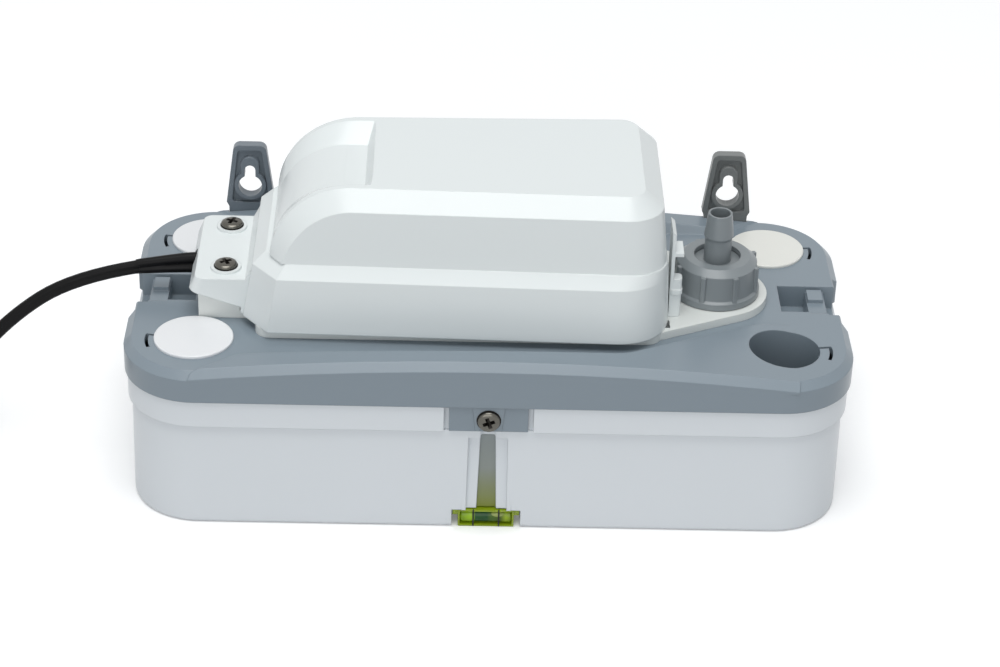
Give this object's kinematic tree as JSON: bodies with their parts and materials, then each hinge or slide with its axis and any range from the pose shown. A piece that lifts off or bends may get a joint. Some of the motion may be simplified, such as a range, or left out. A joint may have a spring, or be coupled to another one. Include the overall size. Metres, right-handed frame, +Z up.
{
  "type": "condensate pump",
  "caption": "Low tank with crowned lid, capped drain inlets, hooded motor module, hose outlet, wall hangers and mains cord; lifts condensate water away by hose.",
  "frame": {"origin": "under the middle of the tank, on the surface it stands on", "axes": "+X along the tank towards the hose outlet, +Y to the wall side with the hangers, +Z up"},
  "size_m": [0.4318, 0.1614, 0.1298],
  "materials": {
    "reservoir_plastic": "satin moulded plastic",
    "lid_plastic": "satin moulded plastic",
    "cover_plastic": "semi-gloss moulded plastic",
    "cap_plastic": "semi-gloss moulded plastic",
    "base_plastic": "satin moulded plastic",
    "pump_plastic": "dull moulded plastic",
    "fitting_plastic": "satin moulded plastic",
    "hanger_steel": "dark painted steel",
    "plated_steel": "nickel plated",
    "level_plastic": "clear tinted plastic",
    "level_fluid": "dark green fluid",
    "lamination_steel": "stacked sheet",
    "copper_wire": "enamelled copper",
    "bobbin_plastic": "dull moulded plastic",
    "bracket_steel": "zinc plated sheet",
    "bearing_bronze": "sintered bronze",
    "shaft_steel": "ground",
    "fan_plastic": "dull moulded plastic",
    "float_plastic": "dull moulded plastic",
    "switch_plastic": "dull moulded plastic",
    "seal_rubber": "dull rubber",
    "cord_rubber": "satin sheath",
    "blade_brass": "bright brass"
  },
  "bodies": {
    "tank": {"reservoir": "reservoir_plastic", "lid": "lid_plastic", "lid_screw_front": "plated_steel", "lid_screw_back": "plated_steel", "spirit_level": "level_plastic", "level_liquid": "level_fluid", "hanger_left": "hanger_steel", "hanger_right": "hanger_steel", "pump_base": "base_plastic", "motor_cover": "cover_plastic", "cover_catch": "cover_plastic", "neck_screw_front": "plated_steel", "neck_screw_back": "plated_steel", "hose_barb": "fitting_plastic", "outlet_gasket": "seal_rubber", "valve_seat": "seal_rubber", "stator_stack": "lamination_steel", "bobbin": "bobbin_plastic", "motor_winding": "copper_wire", "bracket_lower": "bracket_steel", "bracket_upper": "bracket_steel", "bearing_lower": "bearing_bronze", "bearing_upper": "bearing_bronze", "motor_bolt_front": "plated_steel", "motor_bolt_back": "plated_steel", "pump_housing": "pump_plastic", "suction_plate": "pump_plastic", "run_switch": "switch_plastic", "lever_pin": "shaft_steel", "switch_stand": "bracket_steel", "strain_relief": "cord_rubber", "cord": "cord_rubber", "cord_coil": "cord_rubber", "cord_tail": "cord_rubber", "plug": "cord_rubber", "plug_blades": "blade_brass"},
    "rotor_set": {"motor_shaft": "shaft_steel", "rotor": "lamination_steel", "cooling_fan": "fan_plastic", "impeller": "fan_plastic"},
    "float_set": {"float": "float_plastic", "float_rod": "float_plastic"},
    "lever": {"switch_lever": "shaft_steel"},
    "button": {"switch_button": "switch_plastic"},
    "check_ball": {"valve_ball": "seal_rubber"},
    "nut": {"union_nut": "fitting_plastic"},
    "cap_fl": {"cap_front_left": "cap_plastic"},
    "cap_bl": {"cap_back_left": "cap_plastic"},
    "cap_br": {"cap_back_right": "cap_plastic"}
  },
  "joints": [
    {"name": "motor_spin", "type": "hinge", "parent": "tank", "child": "rotor_set", "pos_m": [0.015, 0, 0.09], "axis": [0, 0, 1], "continuous": true},
    {"name": "float_rise", "type": "slide", "parent": "tank", "child": "float_set", "axis": [0, 0, 1], "range_m": [0, 0.012]},
    {"name": "lever_lift", "type": "hinge", "parent": "tank", "child": "lever", "pos_m": [-0.077, 0, 0.0944], "axis": [0, -1, 0], "range_deg": [0, 4], "stiffness_Nm_per_rad": 0.05, "springref_deg": -2.86},
    {"name": "button_press", "type": "slide", "parent": "tank", "child": "button", "axis": [0, 0, 1], "range_m": [0, 0.00095]},
    {"name": "ball_lift", "type": "slide", "parent": "tank", "child": "check_ball", "axis": [0, 0, 1], "range_m": [0, 0.0035]},
    {"name": "nut_turn", "type": "hinge", "parent": "tank", "child": "nut", "pos_m": [0.0889, 0, 0.08], "axis": [0, 0, 1], "continuous": true},
    {"name": "cap_front_left_twist", "type": "hinge", "parent": "tank", "child": "cap_fl", "pos_m": [-0.113, -0.0389, 0.068], "axis": [0, 0, 1], "range_deg": [0, 30]},
    {"name": "cap_back_left_twist", "type": "hinge", "parent": "tank", "child": "cap_bl", "pos_m": [-0.113, 0.0389, 0.068], "axis": [0, 0, 1], "range_deg": [0, 30]},
    {"name": "cap_back_right_twist", "type": "hinge", "parent": "tank", "child": "cap_br", "pos_m": [0.113, 0.0389, 0.068], "axis": [0, 0, 1], "range_deg": [0, 30]}
  ],
  "couplings": [
    {"joint": "button_press", "follows": "lever_lift", "m_per_rad": 0.013}
  ]
}
